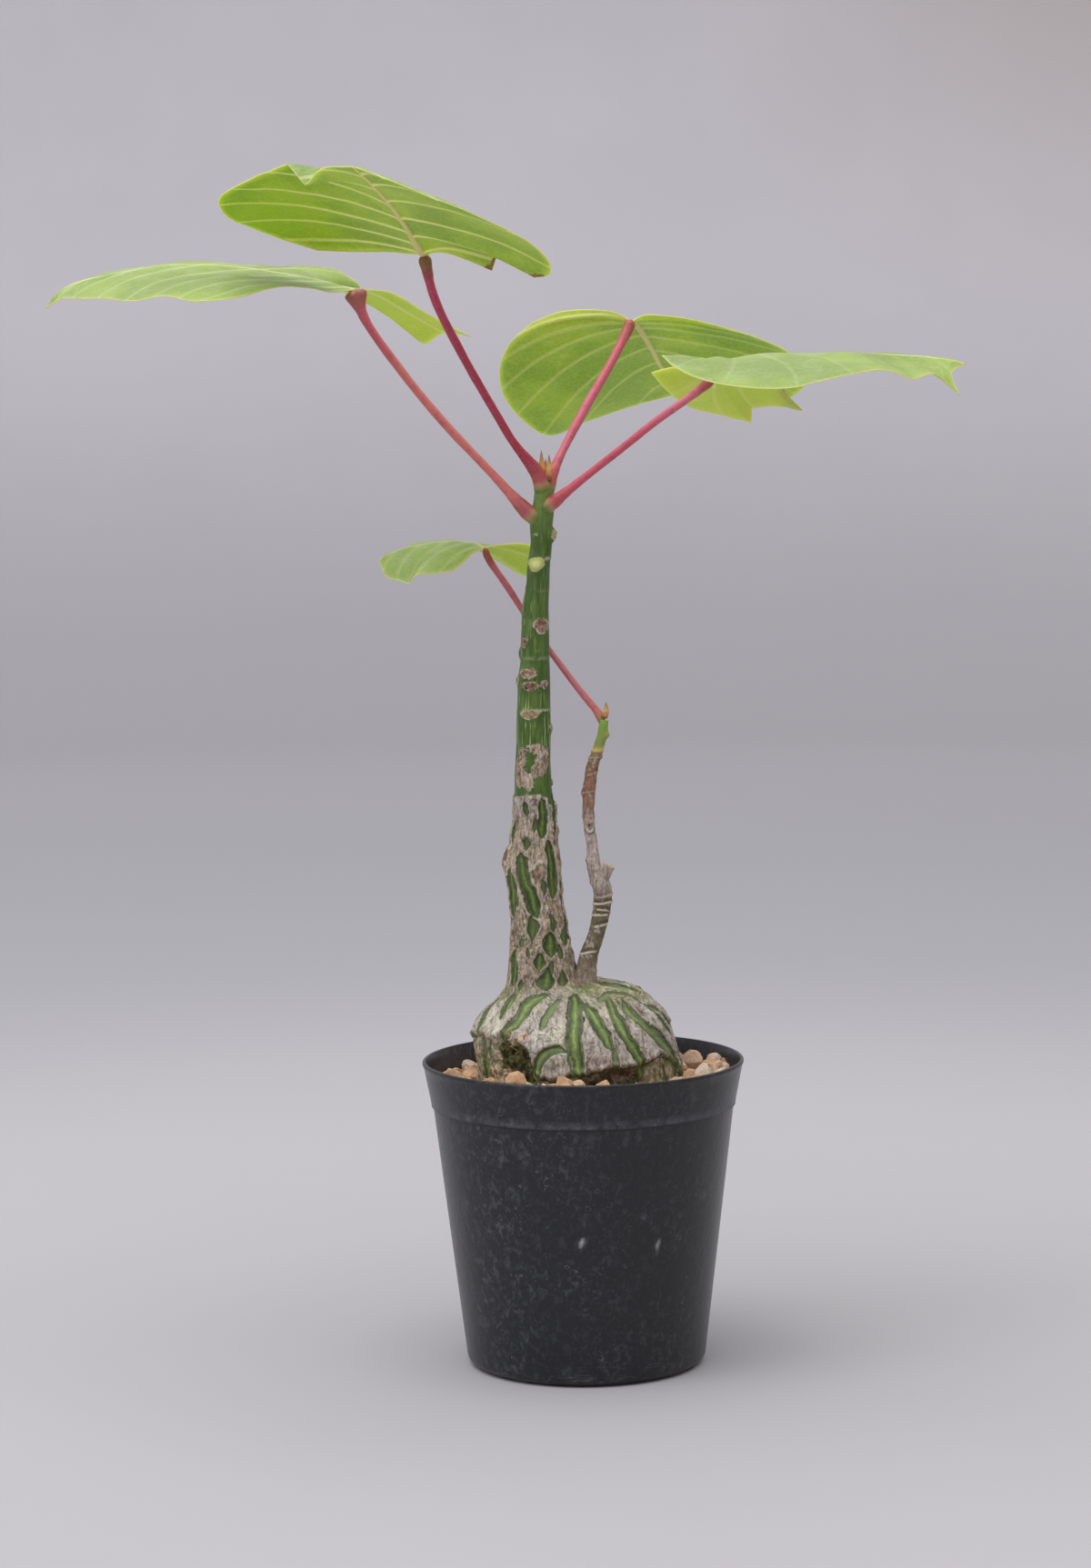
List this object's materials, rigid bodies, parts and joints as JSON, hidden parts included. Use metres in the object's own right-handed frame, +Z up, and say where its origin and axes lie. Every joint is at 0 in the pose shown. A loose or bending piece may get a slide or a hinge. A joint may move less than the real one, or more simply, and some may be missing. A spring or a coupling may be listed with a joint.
{
  "type": "potted shaving brush tree",
  "caption": "Potted caudex plant: striped swollen stem base with an upright trunk, thin side shoot and broad leaves on red stalks, in a round nursery pot.",
  "frame": {"origin": "centre of the pot's flat base, on the surface that the pot stands on", "axes": "+Z up along the pot's axis, -Y towards the front, +X to the right as seen from the front"},
  "size_m": [0.2794, 0.1905, 0.3668],
  "materials": {
    "pot_plastic": "thin charcoal-black plastic, matte, dusty with pale scuffs",
    "soil": "dark brown loose potting soil",
    "grit": "dry peach-tan and whitish grit",
    "bark": "flaking grey cork plates with green stripes of living skin between them",
    "shoot_bark": "thin grey-brown bark, green at the top",
    "bud_scale": "dry tan bud scales",
    "leaf_stalk": "smooth crimson to pinkish-red skin with a soft sheen",
    "leaf_blade": "smooth green blade, bright yellow-green below, with pale veins"
  },
  "bodies": {
    "root": {"pot": "pot_plastic", "soil": "soil", "grit_layer": "grit", "caudex_and_trunk": "bark", "side_shoot": "shoot_bark", "tip_bud": "bud_scale", "side_shoot_bud": "bud_scale", "leaf_blade_a": "leaf_blade", "leaf_blade_b": "leaf_blade", "leaf_blade_c": "leaf_blade", "leaf_blade_d": "leaf_blade", "leaf_blade_e": "leaf_blade", "leaf_stalk_a": "leaf_stalk", "leaf_stalk_b": "leaf_stalk", "leaf_stalk_c": "leaf_stalk", "leaf_stalk_d": "leaf_stalk", "leaf_stalk_e": "leaf_stalk"}
  },
  "joints": []
}
